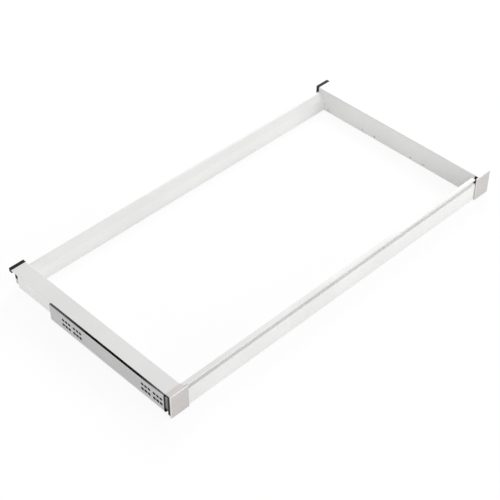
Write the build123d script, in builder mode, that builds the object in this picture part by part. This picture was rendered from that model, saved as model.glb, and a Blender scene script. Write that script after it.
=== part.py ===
from build123d import *
import os

os.makedirs("parts", exist_ok=True)

# A wide pull-out frame for a cabinet or wardrobe: four white sheet-steel rails make a flat
# rectangle that carries baskets, trays or shelves, and a three-member ball-bearing slide under
# each side rail's overhanging flange carries the rectangle out of the cabinet.
# X runs across the cabinet, Y from front to back and Z up. The origin is the middle of the
# footprint, at the height of the lowest edge. All pieces are drawn closed, at rest.

# Overall size
overall_width = 964.0
overall_depth = 500.0
overall_height = 60.0
half_width = overall_width / 2
front_y = -overall_depth / 2
back_y = overall_depth / 2

# Clearances
fit_gap = 0.3  # between moulded plugs and the sheet metal round them, and between loose neighbours
hole_gap = 0.05  # between a screw or pin and its hole

# Ball-bearing slides: one size for the three nested members
slide_length = 345.0
slide_height = 45.0
slide_thickness = 12.7
slide_sheet = 1.2
slide_setback = 21.0  # from the front of the corner covers to the slide's front end
slide_drop = 2.4  # the slides' middle lines lie this far below half the height
slide_center_z = overall_height / 2 - slide_drop
slide_front_y = front_y + slide_setback
slide_back_y = slide_front_y + slide_length

# Frame rails: white powder-coated sheet steel
rail_top_drop = 0.5  # the rails' tops lie this far below the covers' tops
rail_bottom_z = 1.5
rail_top_z = overall_height - rail_top_drop
flange_width = 38.0
side_sheet = 1.2
rail_sheet = 1.5
bend_radius = 1.9  # outside radius of a bend
inner_half = half_width - flange_width  # the side rails' inner faces
box_outer = half_width - slide_thickness  # the side rails' outer webs, where the slides screw on

# Front corner covers and the moulded blocks behind them
cover_width = 46.5
cover_thickness = 3.2
cover_return_depth = 10.3
cover_return_sheet = 1.2
cover_edge_radius = 1.5
block_plate_thickness = 6.8
cover_back_y = front_y + cover_thickness
cover_return_end_y = cover_back_y + cover_return_depth
block_plate_back_y = cover_back_y + block_plate_thickness
cover_inner_x = half_width - cover_width

# Rear end caps
cap_thickness = 9.1
rail_back_y = back_y - cap_thickness
side_rail_length = rail_back_y - cover_return_end_y


def section(y):
    """The upright plane across the cabinet at y. Extruding by a minus amount runs to the back."""
    return Plane.XZ.offset(-y)


def save(piece, name):
    """Names a finished piece and writes its file."""
    piece.part.label = name
    export_step(piece.part, f"parts/{name}.step")


def save_pair(piece, name):
    """Writes the right-hand piece, and its mirror image as the left-hand one."""
    with BuildPart() as mirrored:
        mirror(piece.part, about=Plane.YZ)
    save(piece, f"{name}_right")
    save(mirrored, f"{name}_left")


def block_between(low, high, mode=Mode.ADD):
    """A block between two opposite corners, for use inside a part."""
    middle = tuple((a + b) / 2 for a, b in zip(low, high))
    size = tuple(b - a for a, b in zip(low, high))
    with Locations(middle):
        Box(*size, mode=mode)


# Side rails
# One strip of sheet: the wide top flange, the inner web with its row of small holes, the
# bottom, and the outer web that stops just under the flange. The flange overhangs the slide.
accessory_hole_radius = 1.6
accessory_hole_z = 8.0
accessory_pair_spacing = 38.8
accessory_back_inset = 32.6  # from the side rail's rear end to the single hole nearest it
accessory_front_inset = 33.3  # from its front end to the other single hole
accessory_pair_count = 2
seam_gap = 0.3  # between the outer web's edge and the flange above it
slide_screw_radius = 1.75
slide_screw_count = 3
slide_screw_first = 37.5  # from the drawer member's front end to the first screw
slide_screw_last = 27.5  # from its rear end to the last screw
drawer_member_lead = 8.5  # the drawer member stands this far in front of the cabinet member
drawer_front_y = slide_front_y - drawer_member_lead
block_screw_radius = 1.5
block_screw_first = 8.0  # from the side rail's front end
block_screw_spacing = 14.0
bracket_screw_radius = 1.6
bracket_screw_inset = 8.5  # from the side rail's rear end
bracket_bottom_share = 0.164  # of the rail's height, from its bottom
bracket_top_drop = 24.5  # from the side rails' tops
bracket_screw_inset_z = 4.5  # from the bracket's edges
box_center_x = (inner_half + box_outer) / 2
rail_middle_z = (rail_bottom_z + rail_top_z) / 2
box_width = box_outer - inner_half
rail_height = rail_top_z - rail_bottom_z
block_screw_places = [
    cover_return_end_y + block_screw_first,
    cover_return_end_y + block_screw_first + block_screw_spacing,
]
bracket_screw_y = rail_back_y - bracket_screw_inset
bracket_bottom_z = rail_bottom_z + bracket_bottom_share * rail_height
bracket_top_z = rail_top_z - bracket_top_drop
bracket_screw_heights = [
    bracket_bottom_z + bracket_screw_inset_z,
    bracket_top_z - bracket_screw_inset_z,
]
accessory_first_y = rail_back_y - accessory_back_inset
accessory_last_y = cover_return_end_y + accessory_front_inset
accessory_steps = accessory_pair_count + 1
accessory_pitch = (
    accessory_first_y - accessory_last_y + accessory_pair_spacing
) / accessory_steps
accessory_holes = [accessory_first_y, accessory_last_y]
for step in range(1, accessory_steps):
    pair_low_y = accessory_first_y - step * accessory_pitch
    accessory_holes += [pair_low_y, pair_low_y + accessory_pair_spacing]
slide_screw_spacing = (
    slide_length - slide_screw_first - slide_screw_last
) / (slide_screw_count - 1)
slide_screw_places = [
    drawer_front_y + slide_screw_first + n * slide_screw_spacing for n in range(slide_screw_count)
]

with BuildPart() as side_rail:
    with BuildSketch(section(cover_return_end_y)):
        with Locations((box_center_x, rail_middle_z)):
            RectangleRounded(box_width, rail_height, bend_radius)
        with Locations(((box_center_x + half_width) / 2, rail_top_z - side_sheet / 2)):
            Rectangle(half_width - box_center_x, side_sheet)
        with Locations((box_center_x, rail_middle_z)):
            RectangleRounded(
                box_width - 2 * side_sheet,
                rail_height - 2 * side_sheet,
                bend_radius - side_sheet,
                mode=Mode.SUBTRACT,
            )
        with Locations((box_outer - bend_radius / 2, rail_top_z - side_sheet - seam_gap / 2)):
            Rectangle(bend_radius, seam_gap, mode=Mode.SUBTRACT)
    extrude(amount=-side_rail_length)
    with BuildSketch(Plane.YZ.offset(inner_half)):
        with Locations([(y, accessory_hole_z) for y in accessory_holes]):
            Circle(accessory_hole_radius)
    extrude(amount=side_sheet, mode=Mode.SUBTRACT)
    with BuildSketch(Plane.YZ.offset(box_outer)):
        with Locations([(y, slide_center_z) for y in slide_screw_places]):
            Circle(slide_screw_radius + hole_gap)
    extrude(amount=-side_sheet, mode=Mode.SUBTRACT)
    with BuildSketch(Plane.XY.offset(rail_bottom_z)):
        with Locations([(box_center_x, y) for y in block_screw_places]):
            Circle(block_screw_radius + hole_gap)
    extrude(amount=side_sheet, mode=Mode.SUBTRACT)
    with BuildSketch(Plane.YZ.offset(inner_half)):
        with Locations([(bracket_screw_y, z) for z in bracket_screw_heights]):
            Circle(bracket_screw_radius + hole_gap)
    extrude(amount=side_sheet, mode=Mode.SUBTRACT)
save_pair(side_rail, "side_rail")

# Front rail
# One folded strip: a hemmed lip on top, a groove under it, the tall front face, and a return
# flange at the bottom that stiffens the face from behind. The lip and the groove's back reach
# the left side rail and end short of the right one, where the corner block shows.
rail_end_gap = 6.3  # from the rail's end to the side rail's inner face
front_face_setback = 3.7  # from the covers' front to the rail's face
front_rail_drop = 1.5  # from the side rails' bottoms down to the front rail's
front_rail_depth = 9.8
lip_thickness = 3.0
lip_edge_radius = 1.4
groove_height = 12.2
groove_depth = 8.3
return_flange_height = 10.0
lip_end_gap = 11.0  # from the lip's right end to the side rail's inner face
front_rail_half = inner_half - rail_end_gap
front_bottom_z = rail_bottom_z - front_rail_drop
front_face_y = front_y + front_face_setback
front_rail_back_y = front_face_y + front_rail_depth
groove_back_y = front_face_y + groove_depth
lip_left_half = inner_half - fit_gap
lip_right_half = inner_half - lip_end_gap
lip_bottom_z = rail_top_z - lip_thickness
ledge_z = lip_bottom_z - groove_height
front_screw_radius = 1.5
front_screw_inset = 14.0  # from the rail's end
front_screw_height_share = 0.6  # of the return flange
front_screw_x = front_rail_half - front_screw_inset
front_screw_z = front_bottom_z + return_flange_height * front_screw_height_share

with BuildPart() as front_rail:
    with BuildSketch(Plane.YZ.offset(-lip_left_half)) as front_section:
        with BuildLine():
            FilletPolyline(
                (front_rail_back_y, front_bottom_z + return_flange_height),
                (front_rail_back_y, front_bottom_z),
                (front_face_y, front_bottom_z),
                (front_face_y, ledge_z),
                (groove_back_y, ledge_z),
                (groove_back_y, rail_top_z - rail_sheet),
                radius=bend_radius,
            )
            offset(amount=rail_sheet, side=Side.RIGHT)
        make_face()
        with Locations(((front_face_y + front_rail_back_y) / 2, rail_top_z - lip_thickness / 2)):
            Rectangle(front_rail_depth, lip_thickness)
        lip_front_corners = front_section.vertices().group_by(Axis.Y)[-1].sort_by(Axis.X)[0]
        fillet(lip_front_corners, radius=lip_edge_radius)
    extrude(amount=lip_left_half + front_rail_half)
    block_between(
        (-lip_left_half, front_face_y, front_bottom_z),
        (-front_rail_half, front_rail_back_y, ledge_z),
        mode=Mode.SUBTRACT,
    )
    block_between(
        (lip_right_half, front_face_y, ledge_z),
        (front_rail_half, front_rail_back_y, rail_top_z),
        mode=Mode.SUBTRACT,
    )
    with BuildSketch(Plane.XZ.offset(-front_rail_back_y)):
        with Locations((-front_screw_x, front_screw_z), (front_screw_x, front_screw_z)):
            Circle(front_screw_radius + hole_gap)
    extrude(amount=rail_sheet, mode=Mode.SUBTRACT)
save(front_rail, "front_rail")

# Rear rail
# One folded strip between the side rails' inner webs: an upright inner face whose top leans
# back and turns into a narrow shelf below the side rails' tops, with a lip down at the back
# and a flange at the bottom.
rear_face_inset = 27.5  # from the back of the end caps to the rail's inner face
rear_shelf_drop = 9.3  # from the side rails' tops down to the shelf
rear_lean_depth = 11.9
rear_lean_height = 12.4
rear_shelf_rise = 1.8
rear_shelf_gap = 0.5  # from the shelf's back edge to the side rails' rear ends
rear_lip_height = 12.0
rear_flange_depth = 13.0
rear_face_y = back_y - rear_face_inset
rear_shelf_z = rail_top_z - rear_shelf_drop
rear_lean_top_z = rear_shelf_z - rear_shelf_rise
rear_upright_top_z = rear_lean_top_z - rear_lean_height
rear_shelf_back_y = rail_back_y - rear_shelf_gap

with BuildPart() as rear_rail:
    with BuildSketch(Plane.YZ.offset(-inner_half)):
        with BuildLine():
            FilletPolyline(
                (rear_face_y + rear_flange_depth, rail_bottom_z),
                (rear_face_y, rail_bottom_z),
                (rear_face_y, rear_upright_top_z),
                (rear_face_y + rear_lean_depth, rear_lean_top_z),
                (rear_shelf_back_y, rear_shelf_z),
                (rear_shelf_back_y, rear_shelf_z - rear_lip_height),
                radius=bend_radius,
            )
            offset(amount=rail_sheet, side=Side.RIGHT)
        make_face()
    extrude(amount=2 * inner_half)
save(rear_rail, "rear_rail")

# Front corner blocks
# Moulded black plastic. A plate lies behind the cover, a collar stops the side rail, a hollow
# plug fills the end of the side rail's box and a spigot fills the end of the front rail.
block_plate_bottom_z = 4.5
block_plate_side_gap = 0.5  # from the cover's outer edge in to the plate's
plug_wall = 2.5
plug_length = 30.0
spigot_length = 24.0
cover_peg_radius = 2.2
cover_peg_length = 5.0
cover_peg_inset_x = 8.0
cover_peg_inset_z = 12.0
block_plate_top_z = overall_height - cover_return_sheet
shoulder_top_z = ledge_z - rail_sheet
shoulder_x = front_rail_half + fit_gap
plug_left_x = inner_half + side_sheet + fit_gap
plug_right_x = box_outer - side_sheet - fit_gap
plug_bottom_z = rail_bottom_z + side_sheet + fit_gap
plug_top_z = rail_top_z - side_sheet - fit_gap
spigot_front_y = front_face_y + rail_sheet + fit_gap
spigot_back_y = front_rail_back_y - rail_sheet - fit_gap
spigot_bottom_z = front_bottom_z + rail_sheet + fit_gap
spigot_top_z = ledge_z - rail_sheet - fit_gap
cover_peg_places = [
    (inner_half + cover_peg_inset_x, overall_height - cover_peg_inset_z),
    (half_width - cover_peg_inset_x, overall_height - cover_peg_inset_z),
    (half_width - cover_peg_inset_x, cover_peg_inset_z),
]

with BuildPart() as corner_block:
    block_between(
        (inner_half, cover_back_y, block_plate_bottom_z),
        (half_width - block_plate_side_gap, block_plate_back_y, block_plate_top_z),
    )
    block_between(
        (shoulder_x, cover_back_y, block_plate_bottom_z),
        (inner_half, front_rail_back_y, shoulder_top_z),
    )
    block_between(
        (inner_half, block_plate_back_y, rail_bottom_z),
        (box_outer, cover_return_end_y, block_plate_top_z),
    )
    block_between(
        (plug_left_x, cover_return_end_y, plug_bottom_z),
        (plug_right_x, cover_return_end_y + plug_length, plug_top_z),
    )
    block_between(
        (plug_left_x + plug_wall, cover_return_end_y + plug_wall, plug_bottom_z + plug_wall),
        (plug_right_x - plug_wall, cover_return_end_y + plug_length, plug_top_z - plug_wall),
        mode=Mode.SUBTRACT,
    )
    block_between(
        (shoulder_x - spigot_length, spigot_front_y, spigot_bottom_z),
        (shoulder_x, spigot_back_y, spigot_top_z),
    )
    with BuildSketch(section(cover_back_y)):
        with Locations(cover_peg_places):
            Circle(cover_peg_radius + fit_gap)
    extrude(amount=-cover_peg_length - fit_gap, mode=Mode.SUBTRACT)
    with BuildSketch(Plane.XY.offset(plug_bottom_z)):
        with Locations([(box_center_x, y) for y in block_screw_places]):
            Circle(block_screw_radius + hole_gap)
    extrude(amount=plug_wall, mode=Mode.SUBTRACT)
    with BuildSketch(section(spigot_back_y)):
        with Locations((front_screw_x, front_screw_z)):
            Circle(front_screw_radius + hole_gap)
    extrude(amount=spigot_back_y - spigot_front_y, mode=Mode.SUBTRACT)
save_pair(corner_block, "front_corner_block")

# Front corner covers
# Light grey caps over the front corners: a plate with eased edges, a thin return over the top
# and three pegs that push into the block behind.
with BuildPart() as corner_cover:
    block_between((cover_inner_x, front_y, 0), (half_width, cover_back_y, overall_height))
    fillet(corner_cover.faces().sort_by(Axis.Y)[0].edges(), radius=cover_edge_radius)
    block_between(
        (inner_half, cover_back_y, block_plate_top_z),
        (half_width, cover_return_end_y, overall_height),
    )
    with BuildSketch(section(cover_back_y)):
        with Locations(cover_peg_places):
            Circle(cover_peg_radius)
    extrude(amount=-cover_peg_length)
save_pair(corner_cover, "front_corner_cover")

# Rear end caps
# Moulded black plastic over the open rear end of each side rail, with a hollow plug in the box.
cap_slide_gap = 0.8  # from the top of the slide to the cap's overhanging top, which passes over it
cap_leg_drop = 34.5  # from the side rails' tops to the lower end of the cap's leg
cap_side_inset = 1.0  # from the flange's outer edge in to the cap's
cap_plug_length = 24.0
cap_edge_radius = 1.0
cap_leg_bottom_z = rail_top_z - cap_leg_drop
cap_step_z = slide_center_z + slide_height / 2 + cap_slide_gap

with BuildPart() as end_cap:
    block_between(
        (inner_half, rail_back_y, cap_step_z),
        (half_width - cap_side_inset, back_y, overall_height),
    )
    block_between(
        (inner_half, rail_back_y, cap_leg_bottom_z),
        (box_outer, back_y, cap_step_z),
    )
    fillet(end_cap.faces().sort_by(Axis.Y)[-1].edges(), radius=cap_edge_radius)
    block_between(
        (plug_left_x, rail_back_y - cap_plug_length, bracket_bottom_z),
        (plug_right_x, rail_back_y, plug_top_z),
    )
    block_between(
        (plug_left_x + plug_wall, rail_back_y - cap_plug_length, bracket_bottom_z + plug_wall),
        (plug_right_x - plug_wall, rail_back_y - plug_wall, plug_top_z - plug_wall),
        mode=Mode.SUBTRACT,
    )
    with BuildSketch(Plane.YZ.offset(plug_left_x)):
        with Locations([(bracket_screw_y, z) for z in bracket_screw_heights]):
            Circle(bracket_screw_radius + hole_gap)
    extrude(amount=plug_wall, mode=Mode.SUBTRACT)
save_pair(end_cap, "rear_end_cap")

# Rear corner brackets
# One bent strip of galvanised steel: a leg spot-welded to the back of the rear rail, a leg
# screwed to the side rail's inner web, and a hook round the end of the box below the cap.
bracket_sheet = 2.0
bracket_leg_width = 20.0
hook_cap_gap = 0.5  # from the hook's top to the cap above it
hook_end_gap = 1.0  # from the cap's rear face in to the hook's
hook_back_y = back_y - hook_end_gap
bracket_face_y = rear_face_y + rail_sheet
hook_top_z = cap_leg_bottom_z - hook_cap_gap

with BuildPart() as rear_bracket:
    block_between(
        (inner_half - bracket_leg_width, bracket_face_y, bracket_bottom_z),
        (inner_half, bracket_face_y + bracket_sheet, bracket_top_z),
    )
    block_between(
        (inner_half - bracket_sheet, bracket_face_y, bracket_bottom_z),
        (inner_half, rail_back_y, bracket_top_z),
    )
    block_between(
        (inner_half - bracket_sheet, rail_back_y, bracket_bottom_z),
        (inner_half, hook_back_y, hook_top_z),
    )
    block_between(
        (inner_half, hook_back_y - bracket_sheet, bracket_bottom_z),
        (box_outer, hook_back_y, hook_top_z),
    )
    block_between(
        (box_outer - bracket_sheet, rail_back_y + fit_gap, bracket_bottom_z),
        (box_outer, hook_back_y - bracket_sheet, hook_top_z),
    )
    with BuildSketch(Plane.YZ.offset(inner_half)):
        with Locations([(bracket_screw_y, z) for z in bracket_screw_heights]):
            Circle(bracket_screw_radius + hole_gap)
    extrude(amount=-bracket_sheet, mode=Mode.SUBTRACT)
save_pair(rear_bracket, "rear_corner_bracket")

# Slides
# Three nested channels in each slide. Depth is measured from the cabinet's side inwards, and
# heights from the slide's middle line. Every race is one ball and two clearances high.
ball_radius = 1.75
ball_clearance = 0.05
cage_sheet = 0.8
cage_gap = 0.5  # on each side of a cage's web
slide_bend = 1.7
channel_depth = 10.5
channel_lip = 2.3
intermediate_depth = 8.0
drawer_channel_depth = 6.5
race_height = 2 * (ball_radius + ball_clearance)
cabinet_half = slide_height / 2
intermediate_half = cabinet_half - slide_sheet - race_height
drawer_half = intermediate_half - slide_sheet - race_height
outer_cage_depth = slide_sheet + cage_gap
intermediate_web_depth = outer_cage_depth + cage_sheet + cage_gap
inner_cage_depth = intermediate_web_depth + slide_sheet + cage_gap


def channel_path(web_x, tip_x, half):
    """The four corners of a channel's outline, from its top tip round to its bottom tip."""
    top_z = slide_center_z + half
    bottom_z = slide_center_z - half
    return [(tip_x, top_z), (web_x, top_z), (web_x, bottom_z), (tip_x, bottom_z)]


# Cabinet members
# The outermost channel screws to the cabinet's side through two rows of punched slots. The
# tips of its flanges curl in to keep the balls.
slot_length = 6.4
slot_radius = 2.3
slot_row_spacing = 13.0
slot_column_pitch = 9.6
slot_columns = 3
slot_rows = 2
slot_group_inset = 17.2  # from the front end to the middle of the first group
slot_group_rear_inset = 52.4  # from the rear end to the middle of the last group
slot_group_pitch = 34.3
stop_length = 9.5
stop_half_height = 9.0
stop_depth = 8.0
cabinet_tip_x = half_width - channel_depth
first_group_y = slide_front_y + slot_group_inset
last_group_y = slide_back_y - slot_group_rear_inset
slot_group_places = [
    first_group_y,
    first_group_y + slot_group_pitch,
    last_group_y - slot_group_pitch,
    last_group_y,
]

with BuildPart() as cabinet_member:
    with BuildSketch(section(slide_front_y)):
        with BuildLine():
            FilletPolyline(
                (cabinet_tip_x, slide_center_z + cabinet_half - channel_lip),
                *channel_path(half_width, cabinet_tip_x, cabinet_half),
                (cabinet_tip_x, slide_center_z - cabinet_half + channel_lip),
                radius=slide_bend,
            )
            offset(amount=slide_sheet, side=Side.RIGHT)
        make_face()
    extrude(amount=-slide_length)
    with BuildSketch(Plane.YZ.offset(half_width)):
        with Locations([(y, slide_center_z) for y in slot_group_places]):
            with GridLocations(slot_column_pitch, slot_row_spacing, slot_columns, slot_rows):
                SlotOverall(slot_length, 2 * slot_radius)
    extrude(amount=-slide_sheet, mode=Mode.SUBTRACT)
save_pair(cabinet_member, "cabinet_member")

# Rear stops
# A rubber buffer bonded to the web in the back of each cabinet member. The intermediate member
# comes to rest against it.
stop_edge_radius = 1.5

with BuildPart() as rear_stop:
    block_between(
        (half_width - slide_sheet - stop_depth, slide_back_y - stop_length,
         slide_center_z - stop_half_height),
        (half_width - slide_sheet, slide_back_y, slide_center_z + stop_half_height),
    )
    fillet(rear_stop.faces().sort_by(Axis.X)[0].edges(), radius=stop_edge_radius)
save_pair(rear_stop, "slide_rear_stop")

# Front guides
# A small black plastic shoe on the front end of each cabinet member's lower flange, with a
# tongue in the lower race.
guide_length = 6.0
guide_tongue_length = 7.0
guide_chamfer = 3.0
guide_top = -intermediate_half - fit_gap  # from the slide's middle line

with BuildPart() as front_guide:
    block_between(
        (cabinet_tip_x, slide_front_y - guide_length, slide_center_z - cabinet_half),
        (half_width - fit_gap, slide_front_y, slide_center_z + guide_top),
    )
    chamfer(
        front_guide.faces().sort_by(Axis.Y)[0].edges().sort_by(Axis.Z)[0],
        length=guide_chamfer,
    )
    block_between(
        (cabinet_tip_x + slide_sheet + fit_gap, slide_front_y,
         slide_center_z - cabinet_half + slide_sheet + fit_gap),
        (half_width - slide_sheet - fit_gap, slide_front_y + guide_tongue_length,
         slide_center_z + guide_top),
    )
save_pair(front_guide, "slide_front_guide")

# Intermediate members
# The middle channel carries half of the travel, with balls above and below it on both sides.
# Closed, its front end is level with the drawer member's.
window_radius = 4.0
window_spacing = 110.0
window_count = 3
intermediate_back_y = slide_back_y - stop_length - fit_gap
intermediate_web_x = half_width - intermediate_web_depth
intermediate_middle_y = (drawer_front_y + intermediate_back_y) / 2

with BuildPart() as intermediate_member:
    with BuildSketch(section(drawer_front_y)):
        with BuildLine():
            FilletPolyline(
                *channel_path(
                    intermediate_web_x, intermediate_web_x - intermediate_depth, intermediate_half
                ),
                radius=slide_bend,
            )
            offset(amount=slide_sheet, side=Side.RIGHT)
        make_face()
    extrude(amount=drawer_front_y - intermediate_back_y)
    with BuildSketch(Plane.YZ.offset(intermediate_web_x)):
        with Locations((intermediate_middle_y, slide_center_z)):
            with GridLocations(window_spacing, 0, window_count, 1):
                Circle(window_radius)
    extrude(amount=-slide_sheet, mode=Mode.SUBTRACT)
save_pair(intermediate_member, "intermediate_member")

# Drawer members
# The innermost channel faces the other way and is screwed to the side rail's outer web.
lever_place = 109.0  # from the cabinet member's front end to the release lever's pivot
lever_pivot_y = slide_front_y + lever_place
lever_pivot_radius = 2.0
drawer_tip_x = box_outer + drawer_channel_depth

with BuildPart() as drawer_member:
    with BuildSketch(section(drawer_front_y)):
        with BuildLine():
            FilletPolyline(
                *channel_path(box_outer, drawer_tip_x, drawer_half),
                radius=slide_bend,
            )
            offset(amount=slide_sheet, side=Side.LEFT)
        make_face()
    extrude(amount=-slide_length)
    with BuildSketch(Plane.YZ.offset(box_outer)):
        with Locations([(y, slide_center_z) for y in slide_screw_places]):
            Circle(slide_screw_radius + hole_gap)
        with Locations((lever_pivot_y, slide_center_z)):
            Circle(lever_pivot_radius + hole_gap)
    extrude(amount=slide_sheet, mode=Mode.SUBTRACT)
save_pair(drawer_member, "drawer_member")

# Ball cages and balls
# Each stage has one channel-shaped cage of thin steel. Its flanges lie on the balls' middle
# line and hold them in round holes.
cage_length = 140.0
cage_place = 97.0  # from the cabinet member's front end
cage_hole_gap = 0.12
cage_bend = 1.2
ball_count = 8
ball_pitch = 17.0
outer_cage_flange = 7.2
inner_cage_flange = 5.8
outer_ball_share = 0.62  # along the cage's flange
inner_ball_share = 0.64
cage_front_y = slide_front_y + cage_place
cage_middle_y = cage_front_y + cage_length / 2


def save_cage(name, depth, flange, race_top, ball_share):
    """One cage and its balls, in the race that lies under the given height."""
    ball_height = race_top - race_height / 2
    web_x = half_width - depth
    ball_x = web_x - flange * ball_share
    with BuildPart() as cage:
        with BuildSketch(section(cage_front_y)):
            with BuildLine():
                FilletPolyline(
                    *channel_path(web_x, web_x - flange, ball_height + cage_sheet / 2),
                    radius=cage_bend,
                )
                offset(amount=cage_sheet, side=Side.RIGHT)
            make_face()
        extrude(amount=-cage_length)
        with BuildSketch(Plane.XY.offset(slide_center_z - cabinet_half)):
            with Locations((ball_x, cage_middle_y)):
                with GridLocations(0, ball_pitch, 1, ball_count):
                    Circle(ball_radius + cage_hole_gap)
        extrude(amount=slide_height, mode=Mode.SUBTRACT)
    with BuildPart() as balls:
        with Locations(
            (ball_x, cage_middle_y, slide_center_z + ball_height),
            (ball_x, cage_middle_y, slide_center_z - ball_height),
        ):
            with GridLocations(0, ball_pitch, 1, ball_count):
                Sphere(ball_radius)
    save_pair(cage, f"{name}_cage")
    save_pair(balls, f"{name}_balls")


save_cage(
    "outer", outer_cage_depth, outer_cage_flange, cabinet_half - slide_sheet, outer_ball_share
)
save_cage(
    "inner", inner_cage_depth, inner_cage_flange, intermediate_half - slide_sheet, inner_ball_share
)

# Release levers
# A black plastic lever in each drawer member lets the frame come off its slides. It turns on
# a rivet whose shoulder keeps it clear of the web.
lever_arm = 42.0
lever_tail = 12.0
lever_half_height = 2.6
lever_thickness = 2.6
lever_pad_length = 9.0
lever_pad_half_height = 4.4
lever_boss_radius = 4.2
lever_side_gap = 0.2
rivet_shoulder_radius = 3.4
rivet_shoulder_length = 0.8
rivet_head_thickness = 1.0
lever_low_x = box_outer + slide_sheet + rivet_shoulder_length + lever_side_gap
lever_high_x = lever_low_x + lever_thickness

with BuildPart() as release_lever:
    with BuildSketch(Plane.YZ.offset(lever_low_x)):
        with Locations((lever_pivot_y + (lever_tail - lever_arm) / 2, slide_center_z)):
            Rectangle(lever_arm + lever_tail, 2 * lever_half_height)
        with Locations((lever_pivot_y - lever_arm + lever_pad_length / 2, slide_center_z)):
            Rectangle(lever_pad_length, 2 * lever_pad_half_height)
        with Locations((lever_pivot_y, slide_center_z)):
            Circle(lever_boss_radius)
            Circle(lever_pivot_radius + hole_gap, mode=Mode.SUBTRACT)
    extrude(amount=lever_thickness)
save_pair(release_lever, "release_lever")

with BuildPart() as lever_rivet:
    with BuildSketch(Plane.YZ.offset(box_outer)):
        with Locations((lever_pivot_y, slide_center_z)):
            Circle(lever_pivot_radius)
    extrude(amount=lever_high_x + lever_side_gap - box_outer)
    with BuildSketch(Plane.YZ.offset(box_outer + slide_sheet)):
        with Locations((lever_pivot_y, slide_center_z)):
            Circle(rivet_shoulder_radius)
    extrude(amount=rivet_shoulder_length)
    with BuildSketch(Plane.YZ.offset(lever_high_x + lever_side_gap)):
        with Locations((lever_pivot_y, slide_center_z)):
            Circle(rivet_shoulder_radius)
    extrude(amount=rivet_head_thickness)
save_pair(lever_rivet, "lever_rivet")

# Screws
# Pan-head screws with a cross recess. A seat is the plane under the heads, facing outwards.
head_radius_share = 1.9  # of the shank's radius
head_height_share = 0.9
recess_width_share = 0.45
recess_length_share = 2.0
recess_depth_share = 0.5
slide_screw_length = 8.0
block_screw_length = 5.5
bracket_screw_length = 7.0
front_screw_length = 4.5


def screws(seat, places, radius, length):
    """A group of equal screws at places on a seat."""
    head_height = head_height_share * radius
    with BuildPart() as group:
        with BuildSketch(seat):
            with Locations(places):
                Circle(head_radius_share * radius)
        extrude(amount=head_height)
        with BuildSketch(seat):
            with Locations(places):
                Circle(radius)
        extrude(amount=-length)
        with BuildSketch(seat.offset(head_height)):
            with Locations(places):
                Rectangle(recess_length_share * radius, recess_width_share * radius)
                Rectangle(recess_width_share * radius, recess_length_share * radius)
        extrude(amount=-recess_depth_share * radius, mode=Mode.SUBTRACT)
    return group


slide_screw_seat = Plane.YZ.offset(box_outer + slide_sheet)
slide_screws = screws(
    slide_screw_seat,
    [(y, slide_center_z) for y in slide_screw_places],
    slide_screw_radius,
    slide_screw_length,
)
save_pair(slide_screws, "slide_screws")

block_screw_seat = Plane(origin=(0, 0, rail_bottom_z), x_dir=(1, 0, 0), z_dir=(0, 0, -1))
block_screws = screws(
    block_screw_seat,
    [(box_center_x, -y) for y in block_screw_places],
    block_screw_radius,
    block_screw_length,
)
save_pair(block_screws, "front_block_screws")

bracket_screw_seat = Plane(
    origin=(inner_half - bracket_sheet, 0, 0), x_dir=(0, -1, 0), z_dir=(-1, 0, 0)
)
bracket_screws = screws(
    bracket_screw_seat,
    [(-bracket_screw_y, z) for z in bracket_screw_heights],
    bracket_screw_radius,
    bracket_screw_length,
)
save_pair(bracket_screws, "rear_bracket_screws")

front_screw_seat = Plane(origin=(0, front_rail_back_y, 0), x_dir=(-1, 0, 0), z_dir=(0, 1, 0))
front_screws = screws(
    front_screw_seat,
    [(-front_screw_x, front_screw_z), (front_screw_x, front_screw_z)],
    front_screw_radius,
    front_screw_length,
)
save(front_screws, "front_rail_screws")
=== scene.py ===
import math

import bpy
from mathutils import Matrix, Vector

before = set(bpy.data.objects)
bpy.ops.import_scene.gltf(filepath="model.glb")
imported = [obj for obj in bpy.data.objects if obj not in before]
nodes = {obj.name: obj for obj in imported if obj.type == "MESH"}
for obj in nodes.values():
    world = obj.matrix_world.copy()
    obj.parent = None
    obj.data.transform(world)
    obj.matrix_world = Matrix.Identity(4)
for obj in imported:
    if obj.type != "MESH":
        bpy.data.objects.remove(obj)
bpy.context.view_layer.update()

# SIDE RAILS, FRONT RAIL AND REAR RAIL
# Folded strips of sheet steel, punched and bent, then powder coated white before they are put
# together. The coat is a little thinner on the outer edges of the folds and round the holes,
# has a fine orange-peel surface, and is rubbed smoother where baskets and hands touch it.


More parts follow.
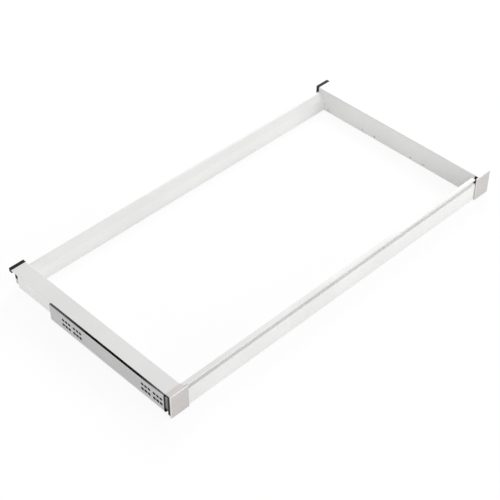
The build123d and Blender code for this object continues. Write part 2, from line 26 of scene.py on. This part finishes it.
class Wire:
    """One output of a shader node. Sums on it add Math nodes, and node() adds any other node."""

    def __init__(self, tree, socket=None):
        self.tree = tree
        self.socket = socket

    def node(self, kind, settings=None, sockets=None, output=0):
        """Adds a node, with its settings first and then its sockets' values or links."""
        made = self.tree.nodes.new("ShaderNode" + kind)
        for name, value in (settings or {}).items():
            setattr(made, name, value)
        for name, value in (sockets or {}).items():
            if isinstance(value, Wire):
                self.tree.links.new(value.socket, made.inputs[name])
            else:
                made.inputs[name].default_value = value
        return Wire(self.tree, made.outputs[output])

    def maths(self, operation, *values):
        return self.node("Math", {"operation": operation}, dict(enumerate(values)))

    def __add__(self, other):
        return self.maths("ADD", self, other)

    def __sub__(self, other):
        return self.maths("SUBTRACT", self, other)

    def __rsub__(self, other):
        return self.maths("SUBTRACT", other, self)

    def __mul__(self, other):
        return self.maths("MULTIPLY", self, other)

    __radd__ = __add__
    __rmul__ = __mul__

    def axes(self):
        """The three numbers of a vector."""
        return [self.node("SeparateXYZ", None, {0: self}, axis) for axis in range(3)]

    def size(self):
        """The number without its sign."""
        return self.maths("ABSOLUTE", self)

    def root(self):
        """The square root of the number."""
        return self.maths("SQRT", self)

    def larger(self, other):
        """The larger of two numbers."""
        return self.maths("MAXIMUM", self, other)

    def smaller(self, other):
        """The smaller of two numbers."""
        return self.maths("MINIMUM", self, other)

    def between(self, low, high):
        """Nought below low and one above high, with a soft step between them."""
        settings = {"interpolation_type": "SMOOTHSTEP"}
        return self.node("MapRange", settings, {0: self, 1: low, 2: high})

    def near(self, middle, inner, outer):
        """One closer than inner to a middle value and nought beyond outer, with a soft step."""
        return 1.0 - (self - middle).size().between(inner, outer)

    def mix(self, first, second):
        """A colour between two others, by this much."""
        settings = {"data_type": "RGBA"}
        return self.node("Mix", settings, {0: self, 6: first, 7: second}, 2)


def place(wire):
    """Where a point of the piece is, in metres."""
    return wire.node("TexCoord", output="Object")


def speckle(wire, spot, per_metre, detail=2.0, stretch=(1.0, 1.0, 1.0)):
    """Cloudy noise from nought to one, drawn out along an axis where its stretch is small."""
    scaled = wire.node("VectorMath", {"operation": "MULTIPLY"}, {0: spot, 1: stretch})
    sockets = {"Vector": scaled, "Scale": per_metre, "Detail": detail}
    return wire.node("TexNoise", None, sockets)


def soft_edge(wire, radius):
    """The normal with its sharp edges rounded off, and how near a point is to such an edge."""
    least_lean, full_lean = 0.01, 0.16
    rounded = wire.node("Bevel", {"samples": 6}, {"Radius": radius})
    normal = wire.node("NewGeometry", output="Normal")
    same = wire.node("VectorMath", {"operation": "DOT_PRODUCT"}, {0: rounded, 1: normal}, 1)
    return rounded, (1.0 - same).between(least_lean, full_lean)


def new_finish(name, metallic=0.0, coat=0.0, specular=0.5):
    """A new material with one shader, and a wire that adds nodes to it."""
    material = bpy.data.materials.new(name)
    material.use_nodes = True
    shader = material.node_tree.nodes["Principled BSDF"]
    shader.inputs["Metallic"].default_value = metallic
    shader.inputs["Coat Weight"].default_value = coat
    shader.inputs["Coat Roughness"].default_value = 0.25
    shader.inputs["Specular IOR Level"].default_value = specular
    return material, shader, Wire(material.node_tree)


def connect(wire, shader, colour, roughness, height, depth, normal):
    """Feeds the shader, with the height turned into relief that is depth metres deep."""
    sockets = {"Height": height, "Distance": depth, "Strength": 1.0, "Normal": normal}
    relief = wire.node("Bump", None, sockets)
    for name, value in (("Base Color", colour), ("Roughness", roughness), ("Normal", relief)):
        wire.tree.links.new(value.socket, shader.inputs[name])


def dress(names, material):
    """Puts a material on all faces of some pieces."""
    for name in names:
        nodes[name].data.materials.clear()
        nodes[name].data.materials.append(material)


def both(*names):
    """The left and the right piece of each name."""
    return [f"{name}_{side}" for name in names for side in ("left", "right")]


coat_white = (0.845, 0.845, 0.835, 1.0)
coat_shade = (0.80, 0.80, 0.795, 1.0)
coat_thin = (0.72, 0.725, 0.73, 1.0)


def powder_coat(name, rubbed_from, rubbed_to):
    """The white coat. It is rubbed smoother at the heights between the two given."""
    material, shader, wire = new_finish(name, coat=0.15)
    spot = place(wire)
    peel = speckle(wire, spot, per_metre=450.0)
    cloud = speckle(wire, spot, per_metre=7.0, detail=4.0)
    smear = speckle(wire, spot, per_metre=30.0, detail=5.0, stretch=(0.4, 0.4, 2.5))
    rounded, edge = soft_edge(wire, radius=0.0007)
    rubbed = spot.axes()[2].between(rubbed_from, rubbed_to) * smear.between(0.45, 0.7)
    white = cloud.between(0.3, 0.7).mix(coat_shade, coat_white)
    colour = (edge * smear.between(0.3, 0.8) * 0.4).mix(white, coat_thin)
    roughness = 0.4 + peel * 0.05 + cloud * 0.06 - rubbed * 0.12
    connect(wire, shader, colour, roughness, peel, depth=0.000006, normal=rounded)
    return material


side_coat = powder_coat("white_coat_of_side_rails", rubbed_from=0.052, rubbed_to=0.059)
dress(both("side_rail"), side_coat)
front_coat = powder_coat("white_coat_of_front_rail", rubbed_from=0.050, rubbed_to=0.058)
dress(["front_rail"], front_coat)
rear_coat = powder_coat("white_coat_of_rear_rail", rubbed_from=0.040, rubbed_to=0.050)
dress(["rear_rail"], rear_coat)

# FRONT CORNER BLOCKS AND REAR END CAPS
# Black glass-filled nylon mouldings that plug the open ends of the folded rails. The mould left
# a fine spark-eroded grain, and the corners are a shade lighter where they have been knocked.
nylon_black = (0.009, 0.009, 0.01, 1.0)
nylon_worn = (0.03, 0.03, 0.032, 1.0)


def moulded_nylon(name, grain_per_metre):
    """Black moulded plastic with a matt grain."""
    material, shader, wire = new_finish(name, specular=0.2)
    spot = place(wire)
    grain = speckle(wire, spot, grain_per_metre, detail=3.0)
    cloud = speckle(wire, spot, per_metre=45.0, detail=3.0)
    rounded, edge = soft_edge(wire, radius=0.0005)
    dusty = cloud.between(0.4, 0.75) * 0.35
    colour = (edge * 0.6 + dusty).mix(nylon_black, nylon_worn)
    roughness = 0.48 + grain * 0.16 + dusty * 0.2
    connect(wire, shader, colour, roughness, grain, depth=0.000012, normal=rounded)
    return material


end_nylon = moulded_nylon("black_nylon_of_ends", grain_per_metre=2200.0)
dress(both("front_corner_block", "rear_end_cap"), end_nylon)

# FRONT CORNER COVERS
# Thin die-cast shells, sprayed in a satin warm grey, that push on over the front corners with
# three pegs. The eased rim catches the light, shown as a painted highlight in its colour, and the
# lacquer is a little rubbed there, so it is smoother.
lacquer_grey = (0.605, 0.58, 0.57, 1.0)
lacquer_dark = (0.555, 0.535, 0.525, 1.0)
painted_rim_highlight = (0.92, 0.91, 0.905, 1.0)
rim_turn, flat_turn = 0.86, 0.985  # the largest part of the normal, on a rim and on a flat face

cover_finish, cover_shader, cover_wire = new_finish("grey_lacquer_of_covers", metallic=0.45)
cover_spot = place(cover_wire)
cover_flake = speckle(cover_wire, cover_spot, per_metre=2600.0, detail=2.0)
cover_cloud = speckle(cover_wire, cover_spot, per_metre=35.0, detail=4.0)
cover_normal = cover_wire.node("NewGeometry", output="Normal")
cover_tone = cover_cloud.between(0.3, 0.7) * 0.6 + cover_flake * 0.4
cover_across, cover_along, cover_up = (number.size() for number in cover_normal.axes())
cover_flat = cover_across.larger(cover_along).larger(cover_up)
# Painted highlight: the rim, where the normal turns between faces, is mixed towards near-white.
cover_rim_highlight = (1.0 - cover_flat.between(rim_turn, flat_turn)) * 0.75
cover_colour = cover_rim_highlight.mix(cover_tone.mix(lacquer_dark, lacquer_grey), painted_rim_highlight)
cover_rough = 0.42 + cover_flake * 0.1 - cover_rim_highlight * 0.1
connect(
    cover_wire, cover_shader, cover_colour, cover_rough, cover_flake, depth=0.000003,
    normal=cover_normal,
)
dress(both("front_corner_cover"), cover_finish)

# REAR CORNER BRACKETS
# Strips of galvanised steel, sheared, bent and spot-welded to the back of the rear rail, with a
# hook round the end of each side rail. The zinc shows faint crystals, bare steel shows along
# the sheared edges, and each leg has two dented welds with a scorched ring.
zinc_light = (0.62, 0.63, 0.64, 1.0)
zinc_dark = (0.47, 0.48, 0.495, 1.0)
steel_bare = (0.75, 0.74, 0.73, 1.0)
scorched_zinc = (0.17, 0.15, 0.13, 1.0)
weld_x = 0.431  # from the middle of the frame, left and right
weld_z = 0.023  # half way between the two welds of a leg
weld_half_pitch = 0.0065
dent_floor_radius, dent_rim_radius = 0.0018, 0.0027
scorch_radius = 0.003

bracket_finish, bracket_shader, bracket_wire = new_finish("galvanised_brackets", metallic=0.9)
bracket_spot = place(bracket_wire)
bracket_across, _, bracket_up = bracket_spot.axes()
crystals = bracket_wire.node("TexVoronoi", None, {"Vector": bracket_spot, "Scale": 260.0}, 1)
crystal_tone = bracket_wire.node("SeparateColor", None, {0: crystals})
bracket_haze = speckle(bracket_wire, bracket_spot, per_metre=90.0, detail=4.0)
bracket_round, bracket_edge = soft_edge(bracket_wire, radius=0.0004)
bracket_tone = crystal_tone * 0.6 + bracket_haze * 0.4
weld_across = bracket_across.size() - weld_x
weld_up = (bracket_up - weld_z).size() - weld_half_pitch
weld_reach = (weld_across * weld_across + weld_up * weld_up).root()
weld_dent = 1.0 - weld_reach.between(dent_floor_radius, dent_rim_radius)
weld_scorch = weld_reach.near(scorch_radius, 0.0002, 0.0016)
bracket_colour = (bracket_edge * 0.8).mix(bracket_tone.mix(zinc_dark, zinc_light), steel_bare)
bracket_colour = (weld_scorch * 0.6).mix(bracket_colour, scorched_zinc)
bracket_rough = 0.34 + bracket_haze * 0.2 + weld_scorch * 0.15
bracket_height = bracket_haze * 0.15 - weld_dent
connect(
    bracket_wire, bracket_shader, bracket_colour, bracket_rough, bracket_height, depth=0.0002,
    normal=bracket_round,
)
dress(both("rear_corner_bracket"), bracket_finish)

# SLIDE MEMBERS
# Cold-rolled strip, zinc plated and roll-formed into three nested channels, with fine drawn
# lines, polished bends and a bright ball track; the light line on the bends is partly a painted
# highlight. Painted shade darkens the rims of the slots and the top under the rails, and the
# middle member is darkened all over, for grease and as painted shade. Old grease tints the faces
# beside the ball track.
slide_middle_z = 0.0276
grease_tint = (0.33, 0.32, 0.29, 1.0)
# Painted shade: the near-black that the slide members are mixed towards, standing for the shade
# under the rails, inside the slots and in the middle member's channel, and for grease.
shade_and_grease_dark = (0.018, 0.018, 0.017, 1.0)
plated_light = (0.54, 0.542, 0.545, 1.0)
plated_dark = (0.475, 0.477, 0.48, 1.0)
plated_polish_and_highlight = (0.86, 0.865, 0.87, 1.0)
top_shade_from, top_shade_to = 0.0202, 0.0212  # above the middle line, where the top is painted dark as shade under the rails
gap_shade_starts_y, gap_shade_full_y = -0.245, -0.15  # the painted shade under the rails deepens, front to back
gap_shade_eases_y, gap_shade_eased_y = -0.02, 0.1  # and eases again towards the back


def plated_strip(name, track_height, bend_height, shade_and_grease_share, rims=None):
    """Rolled and plated strip, with a ball track and bends at heights from the middle line.

    It is darkened all over by the share given, for grease and as painted shade. Painted shade
    also darkens the faces that turn up and the top rim under the rails, most along the middle of
    the length, and the rims of the holes. A painted highlight runs along the bends.
    """
    material, shader, wire = new_finish(name, metallic=0.85)
    spot = place(wire)
    along, up = spot.axes()[1:]
    drawn = speckle(wire, spot, per_metre=700.0, detail=3.0, stretch=(1.0, 0.02, 1.0))
    cloud = speckle(wire, spot, per_metre=22.0, detail=4.0, stretch=(1.0, 0.5, 1.0))
    rounded, edge = soft_edge(wire, radius=0.0004)
    height = (up - slide_middle_z).size()
    track = height.near(track_height, 0.0006, 0.0018)
    bend_highlight = height.near(bend_height, 0.0002, 0.0007)
    haze = height.near(track_height, 0.001, 0.0045)
    grease = haze * cloud.between(0.35, 0.6)
    tone = drawn * 0.4 + cloud * 0.6
    colour = tone.between(0.2, 0.8).mix(plated_dark, plated_light)
    colour = (grease * 0.2).mix(colour, grease_tint)
    # Painted highlight: a light line along the bends, with polish on the edges and the ball
    # track.
    polish_and_highlight = (edge * 0.6 + track * 0.15 + bend_highlight * 0.5).smaller(1.0)
    colour = polish_and_highlight.mix(colour, plated_polish_and_highlight)
    # Painted shade: faces that turn up and the top rim are darkened where the rail above shades
    # them, most along the middle of the length.
    turned_up = wire.node("NewGeometry", output="Normal").axes()[2].between(0.3, 0.6)
    top_shade = (up - slide_middle_z).between(top_shade_from, top_shade_to)
    gap_shade_eased = along.between(gap_shade_eases_y, gap_shade_eased_y) * 0.4
    gap_shade = along.between(gap_shade_starts_y, gap_shade_full_y) - gap_shade_eased
    shade_under_rail = turned_up.larger(top_shade) * gap_shade
    shade_and_grease_mix = shade_under_rail.larger(cloud * 0.1 * shade_and_grease_share + shade_and_grease_share)
    if rims:
        # painted shade round the slots
        shade_and_grease_mix = shade_and_grease_mix.larger(rims(along, up) * 0.96)
    colour = shade_and_grease_mix.mix(colour, shade_and_grease_dark)
    roughness = 0.38 + drawn * 0.12 - track * 0.12 + grease * 0.1
    connect(wire, shader, colour, roughness, drawn, depth=0.000005, normal=rounded)
    return material


slots_middle_y = -0.0741
pair_offset, group_offset = 0.12055, 0.01715  # of a pair of groups, and of a group in its pair
slot_pitch, slot_row_offset = 0.0096, 0.0065
slot_straight_half, slot_end_radius = 0.0009, 0.0023
lower_rim_extra = 0.0003


# Painted shade round the slots: a dark ring on each rim stands for the dark inside the slot.
def slot_rims(along, up):
    """One on the rim of each slot of the four groups, found by folding the member's length.

    The rims are wider on the lower row; the dark on them is painted shade for the inside of the
    slot.
    """
    pair = (along - slots_middle_y).size()
    group = (pair - pair_offset).size()
    column = (group - group_offset).size()
    sideways = column.smaller((column - slot_pitch).size())
    past_end = (sideways - slot_straight_half).larger(0.0)
    row = ((up - slide_middle_z).size() - slot_row_offset).size()
    reach = (past_end * past_end + row * row).root()
    lower_row = 1.0 - (up - slide_middle_z).between(-0.001, 0.001)
    return (reach - lower_row * lower_rim_extra).near(slot_end_radius, 0.0005, 0.0014)


outer_strip = plated_strip(
    "plated_cabinet_members", track_height=0.0175, bend_height=0.0197, shade_and_grease_share=0.0, rims=slot_rims
)
dress(both("cabinet_member"), outer_strip)
# The middle member is darkened by half all over, for grease and as painted shade for its channel
# and the slots it is seen through.
middle_strip = plated_strip(
    "plated_intermediate_members", track_height=0.0147, bend_height=0.0168, shade_and_grease_share=0.5
)
dress(both("intermediate_member"), middle_strip)
inner_strip = plated_strip(
    "plated_drawer_members", track_height=0.0147, bend_height=0.0121, shade_and_grease_share=0.0
)
dress(both("drawer_member"), inner_strip)

# BALL CAGES
# Thin steel strips, punched with round holes for the balls and left as rolled, so they are
# darker than the plated members and filmed with grease.
cage_finish, cage_shader, cage_wire = new_finish("greased_cages", metallic=0.9)
cage_spot = place(cage_wire)
cage_drawn = speckle(cage_wire, cage_spot, per_metre=900.0, detail=2.0, stretch=(1.0, 0.03, 1.0))
cage_film = speckle(cage_wire, cage_spot, per_metre=60.0, detail=4.0)
cage_round, cage_edge = soft_edge(cage_wire, radius=0.0003)
cage_tone = cage_film.between(0.35, 0.65)
cage_colour = (cage_edge * 0.5).mix(cage_tone.mix(grease_tint, zinc_dark), steel_bare)
cage_rough = 0.3 + cage_drawn * 0.16
connect(
    cage_wire, cage_shader, cage_colour, cage_rough, cage_drawn, depth=0.000005, normal=cage_round
)
dress(both("outer_cage", "inner_cage"), cage_finish)

# BALLS
# Hardened and polished steel balls, eight in each row, with smears of grease that dull them.
ball_bright = (0.74, 0.75, 0.76, 1.0)

ball_finish, ball_shader, ball_wire = new_finish("polished_balls", metallic=1.0)
ball_spot = place(ball_wire)
ball_smear = speckle(ball_wire, ball_spot, per_metre=420.0, detail=3.0)
ball_film = ball_smear.between(0.45, 0.7)
ball_normal = ball_wire.node("NewGeometry", output="Normal")
ball_colour = (ball_film * 0.5).mix(ball_bright, grease_tint)
ball_rough = 0.08 + ball_film * 0.3
connect(
    ball_wire, ball_shader, ball_colour, ball_rough, ball_smear, depth=0.000002,
    normal=ball_normal,
)
dress(both("outer_balls", "inner_balls"), ball_finish)

# FRONT GUIDES AND RELEASE LEVERS
# Small black acetal mouldings: the guide clips to the front of the cabinet member, and the
# lever is riveted to the drawer member. Acetal is smoother and waxier than the nylon ends.
slide_acetal = moulded_nylon("black_acetal_of_slides", grain_per_metre=900.0)
dress(both("slide_front_guide", "release_lever"), slide_acetal)

# REAR STOPS
# Moulded rubber buffers, matt black with a pale bloom in patches and along the edges.
rubber_black = (0.025, 0.025, 0.025, 1.0)
rubber_bloom = (0.09, 0.09, 0.088, 1.0)

rubber_finish, rubber_shader, rubber_wire = new_finish("rubber_of_stops")
rubber_spot = place(rubber_wire)
rubber_grain = speckle(rubber_wire, rubber_spot, per_metre=1500.0, detail=4.0)
rubber_cloud = speckle(rubber_wire, rubber_spot, per_metre=160.0, detail=4.0)
rubber_round, rubber_edge = soft_edge(rubber_wire, radius=0.0005)
bloom = rubber_cloud.between(0.4, 0.7) * 0.6 + rubber_edge * 0.3
rubber_colour = bloom.mix(rubber_black, rubber_bloom)
rubber_rough = 0.72 + rubber_grain * 0.16
connect(
    rubber_wire, rubber_shader, rubber_colour, rubber_rough, rubber_grain, depth=0.00002,
    normal=rubber_round,
)
dress(both("slide_rear_stop"), rubber_finish)

# SCREWS AND RIVETS
# Zinc-plated steel with a faint blue-grey passivation, cloudy in tone. The sharp edges, those of
# the cross recess among them, are rubbed bright.
plating_blue = (0.56, 0.59, 0.63, 1.0)
plating_grey = (0.42, 0.44, 0.47, 1.0)

screw_finish, screw_shader, screw_wire = new_finish("plated_screws", metallic=0.95)
screw_spot = place(screw_wire)
screw_grain = speckle(screw_wire, screw_spot, per_metre=1800.0, detail=3.0)
screw_cloud = speckle(screw_wire, screw_spot, per_metre=240.0, detail=3.0)
screw_round, screw_edge = soft_edge(screw_wire, radius=0.0003)
screw_tone = screw_cloud.between(0.3, 0.7)
screw_colour = (screw_edge * 0.8).mix(screw_tone.mix(plating_grey, plating_blue), steel_bare)
screw_rough = 0.25 + screw_grain * 0.15 + screw_cloud * 0.1
connect(
    screw_wire, screw_shader, screw_colour, screw_rough, screw_grain, depth=0.000004,
    normal=screw_round,
)
screw_groups = both("slide_screws", "front_block_screws", "rear_bracket_screws", "lever_rivet")
dress([*screw_groups, "front_rail_screws"], screw_finish)

# FLOOR
# A plain white studio floor just under the frame. It looks white to the camera and in
# reflections, and it still takes a little of the frame's soft shadow. It isn't a lamp.
floor_size = 40.0
floor_drop = 0.0008  # below the frame's lowest edge
floor_white = (0.93, 0.93, 0.93, 1.0)
floor_glow_share = 0.85  # the rest shows the shadow
floor_glow_strength = 1.03

bpy.ops.object.select_all(action="DESELECT")
bpy.ops.mesh.primitive_plane_add(size=floor_size, location=(0.0, 0.0, -floor_drop))
floor = bpy.context.object
floor.name = "studio_floor"
floor_finish = bpy.data.materials.new("white_floor")
floor_finish.use_nodes = True
floor_finish.cycles.emission_sampling = "NONE"
floor_tree = floor_finish.node_tree
floor_tree.nodes.clear()
floor_wire = Wire(floor_tree)
floor_matt = floor_wire.node("BsdfDiffuse", None, {"Color": floor_white})
glow_sockets = {"Color": (1.0, 1.0, 1.0, 1.0), "Strength": floor_glow_strength}
floor_glow = floor_wire.node("Emission", None, glow_sockets)
seen = floor_wire.node("LightPath", output="Is Camera Ray")
mirrored = floor_wire.node("LightPath", output="Is Glossy Ray")
through = floor_wire.node("LightPath", output="Is Transmission Ray")
glow_share = (seen + mirrored + through) * floor_glow_share
floor_look = floor_wire.node("MixShader", None, {0: glow_share, 1: floor_matt, 2: floor_glow})
floor_out = floor_tree.nodes.new("ShaderNodeOutputMaterial")
floor_tree.links.new(floor_look.socket, floor_out.inputs["Surface"])
floor.data.materials.append(floor_finish)

# STUDIO LIGHT
# A white room with a large soft box high at the back right, which makes the right-hand end
# brighter, a second one further off at the front, and a small one close to the left side, low
# enough to reach under the flange.
world = bpy.data.worlds.new("white_studio")
bpy.context.scene.world = world
world.use_nodes = True
world_tree = world.node_tree
world_wire = Wire(world_tree)
backdrop = world_tree.nodes["Background"]
world_seen = world_wire.node("LightPath", output="Is Camera Ray")
world_mirrored = world_wire.node("LightPath", output="Is Glossy Ray")
world_through = world_wire.node("LightPath", output="Is Transmission Ray")
room_level = 0.57
room_mirrored_share = 0.25
shown = world_seen + world_mirrored * room_mirrored_share + world_through
strength = shown * (1.0 - room_level) + room_level
world_tree.links.new(strength.socket, backdrop.inputs["Strength"])
backdrop.inputs["Color"].default_value = (1.0, 1.0, 1.0, 1.0)


def soft_box(name, at, aim, width, depth, watts):
    """A rectangular studio lamp at a place, aimed at a point."""
    lamp = bpy.data.lights.new(name, "AREA")
    lamp.shape = "RECTANGLE"
    lamp.size = width
    lamp.size_y = depth
    lamp.energy = watts
    holder = bpy.data.objects.new(name, lamp)
    bpy.context.scene.collection.objects.link(holder)
    holder.location = at
    holder.rotation_euler = (Vector(aim) - Vector(at)).to_track_quat("-Z", "Y").to_euler()


soft_box(
    "soft_box_back_right", at=(1.6, 1.0, 1.45), aim=(0.35, 0.0, 0.0), width=1.3, depth=1.3,
    watts=27.0,
)
soft_box(
    "soft_box_front", at=(0.5, -2.95, 0.88), aim=(0.1, 0.0, 0.0), width=1.8, depth=1.2, watts=33.5
)
soft_box(
    "soft_box_left", at=(-1.7, 0.0, 0.3), aim=(-0.48, 0.0, 0.03), width=0.48, depth=0.4, watts=4.2
)

# CAMERA
# At the photograph's viewing angle, found from the object's own edges.
azimuth, elevation, roll = (math.radians(angle) for angle in (-44.446, 42.106, -0.1205))
focal_pixels = 1324.25
picture_pixels = 500
target = Vector((-0.06456, -0.03721, 0.03))
distance = 2.81863

away = Vector(
    (
        math.sin(azimuth) * math.cos(elevation),
        -math.cos(azimuth) * math.cos(elevation),
        math.sin(elevation),
    )
)
right = Vector((0.0, 0.0, 1.0)).cross(away).normalized()
upward = away.cross(right)
right, upward = (
    right * math.cos(roll) + upward * math.sin(roll),
    upward * math.cos(roll) - right * math.sin(roll),
)
lens = bpy.data.cameras.new("studio_camera")
lens.sensor_width = 36.0
lens.lens = lens.sensor_width * focal_pixels / picture_pixels
lens.clip_start = 0.05
lens.clip_end = 60.0
camera = bpy.data.objects.new("studio_camera", lens)
bpy.context.scene.collection.objects.link(camera)
camera.matrix_world = Matrix.Translation(target + away * distance) @ Matrix(
    (right, upward, away)
).transposed().to_4x4()
bpy.context.scene.camera = camera
bpy.context.scene.view_settings.view_transform = "Standard"
